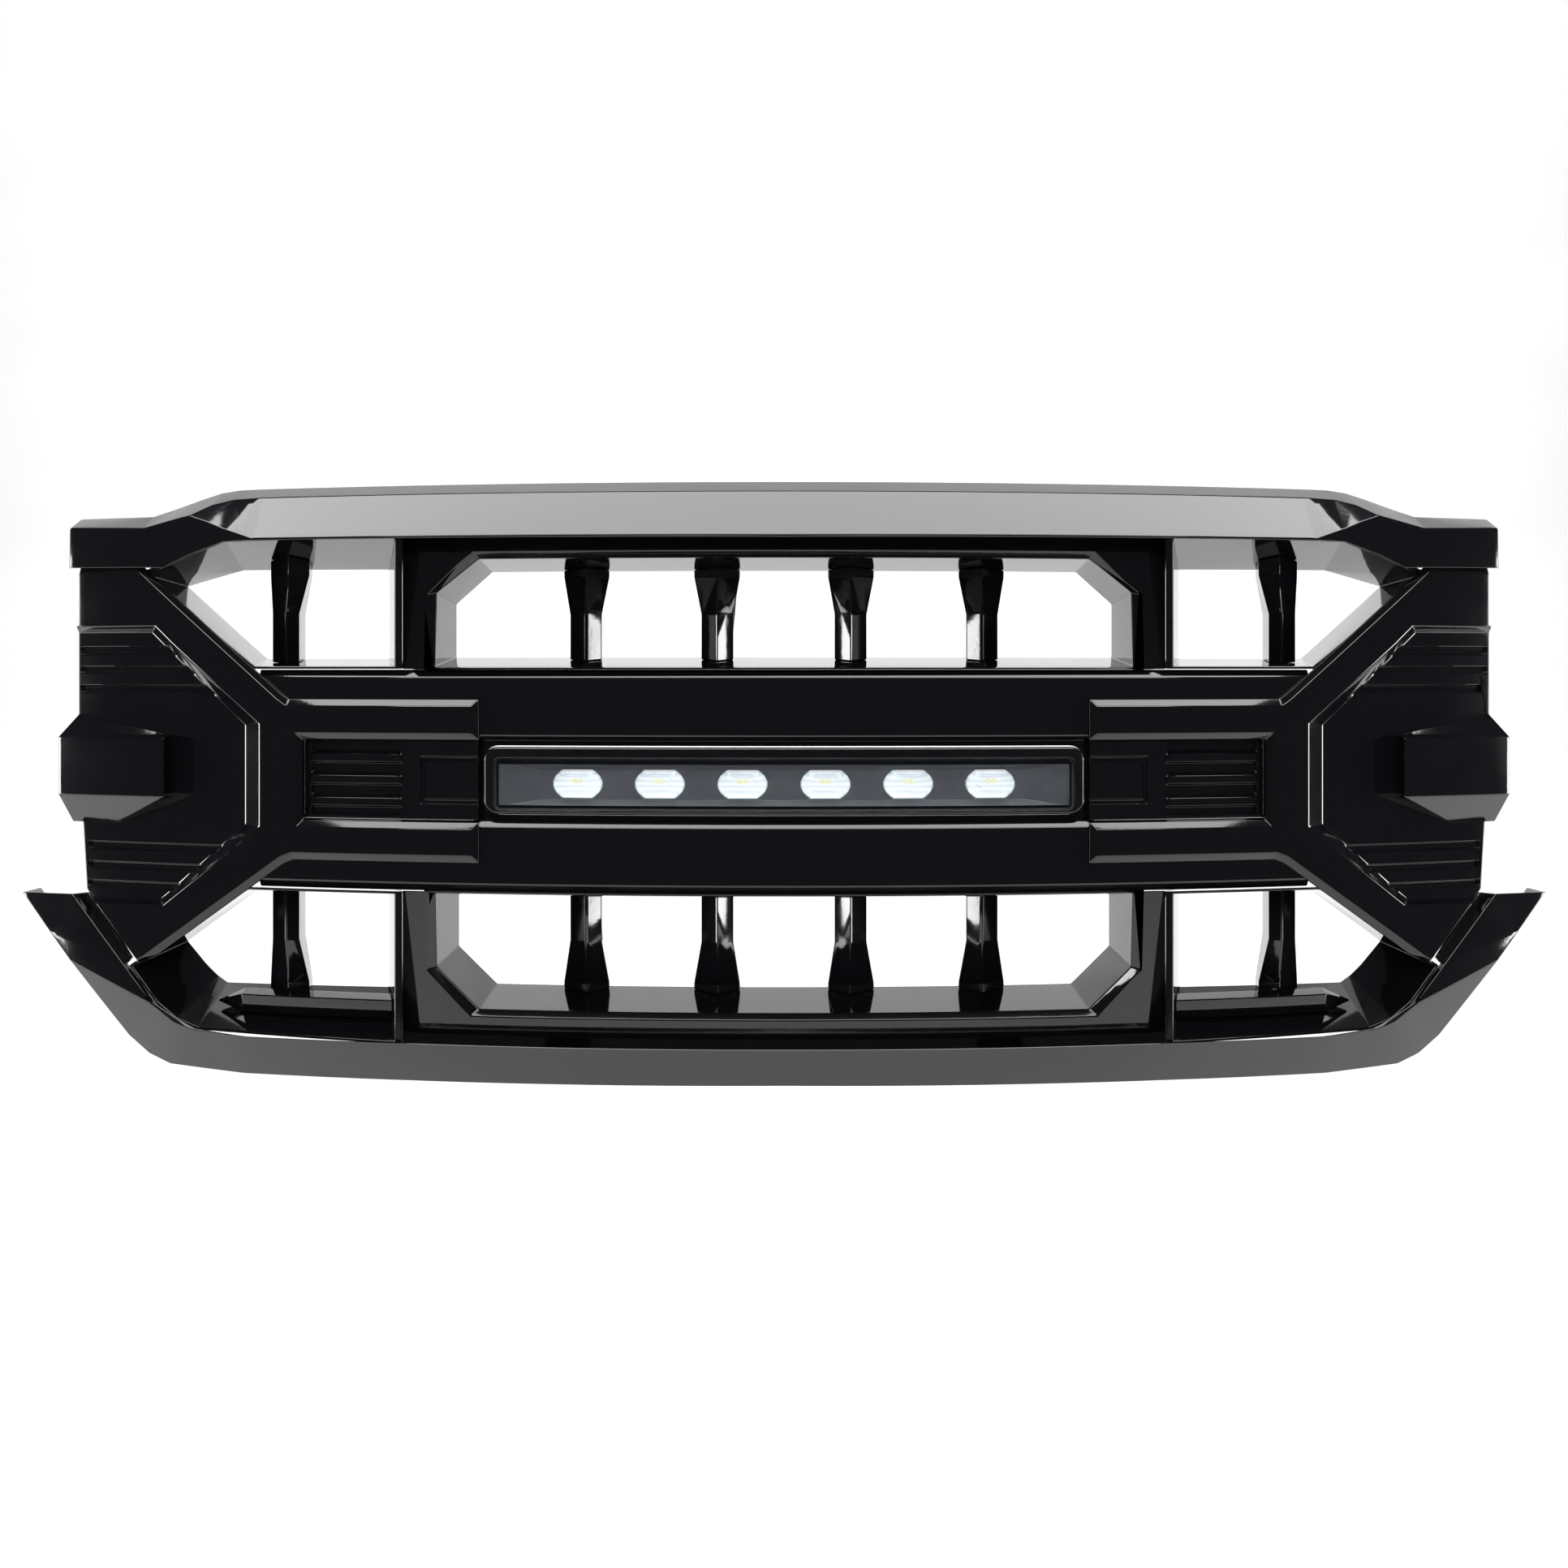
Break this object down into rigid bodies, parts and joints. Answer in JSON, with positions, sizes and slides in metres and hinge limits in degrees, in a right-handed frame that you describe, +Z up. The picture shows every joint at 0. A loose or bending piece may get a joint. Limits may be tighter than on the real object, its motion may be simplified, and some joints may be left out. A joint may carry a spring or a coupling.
{
  "type": "front grille",
  "caption": "Gloss-black pickup front grille: swept centre bar with an LED light bar, side wings, upper and lower air openings with blades, hood trim and valance.",
  "frame": {"origin": "middle of the rear face of the centre mounting bracket, on the centreline behind the support rail", "axes": "front faces -Y, +Y points back into the vehicle, +X is to the right of someone facing the grille, +Z up"},
  "size_m": [1.742, 0.3011, 0.6501],
  "materials": {
    "gloss_black": "piano-black injection-moulded ABS, mirror gloss",
    "satin_black": "black moulded nylon and ABS, satin",
    "steel": "zinc-plated pressed steel",
    "cast_aluminium": "extruded aluminium, dull",
    "reflector": "dark grey moulded plate, fine grain",
    "clear_lens": "clear polycarbonate",
    "optic": "clear acrylic optic over a white LED package",
    "board": "green solder mask on glass-epoxy board",
    "seal": "black EPDM"
  },
  "bodies": {
    "root": {"hood_trim": "gloss_black", "side_wing_left": "gloss_black", "side_wing_right": "gloss_black", "vent_insert_left": "gloss_black", "vent_insert_right": "gloss_black", "centre_bar": "gloss_black", "end_block_left": "gloss_black", "end_block_right": "gloss_black", "window_frame_upper": "gloss_black", "window_frame_lower": "gloss_black", "side_duct_upper_left": "gloss_black", "side_duct_upper_right": "gloss_black", "side_duct_lower_left": "gloss_black", "side_duct_lower_right": "gloss_black", "upper_blade_1": "gloss_black", "upper_blade_2": "gloss_black", "upper_blade_3": "gloss_black", "upper_blade_4": "gloss_black", "lower_blade_1": "gloss_black", "lower_blade_2": "gloss_black", "lower_blade_3": "gloss_black", "lower_blade_4": "gloss_black", "side_blade_upper_left": "gloss_black", "side_blade_upper_right": "gloss_black", "side_blade_lower_left": "gloss_black", "side_blade_lower_right": "gloss_black", "winglet_left": "gloss_black", "winglet_right": "gloss_black", "lower_valance": "gloss_black", "support_rail": "satin_black", "side_pad_left": "satin_black", "side_pad_right": "satin_black", "lower_pad_left": "satin_black", "lower_pad_right": "satin_black", "light_housing": "satin_black", "inlet_socket": "satin_black", "centre_bracket": "steel", "rail_screw_left": "steel", "rail_screw_right": "steel", "pad_screw_left": "steel", "pad_screw_right": "steel", "light_bracket_left": "steel", "light_bracket_right": "steel", "strap_screw_left": "steel", "strap_screw_right": "steel", "heat_sink": "cast_aluminium", "reflector_plate": "reflector", "light_lens": "clear_lens", "led_optic_1": "optic", "led_optic_2": "optic", "led_optic_3": "optic", "led_optic_4": "optic", "led_optic_5": "optic", "led_optic_6": "optic", "circuit_board": "board", "lens_seal": "seal"}
  },
  "joints": []
}
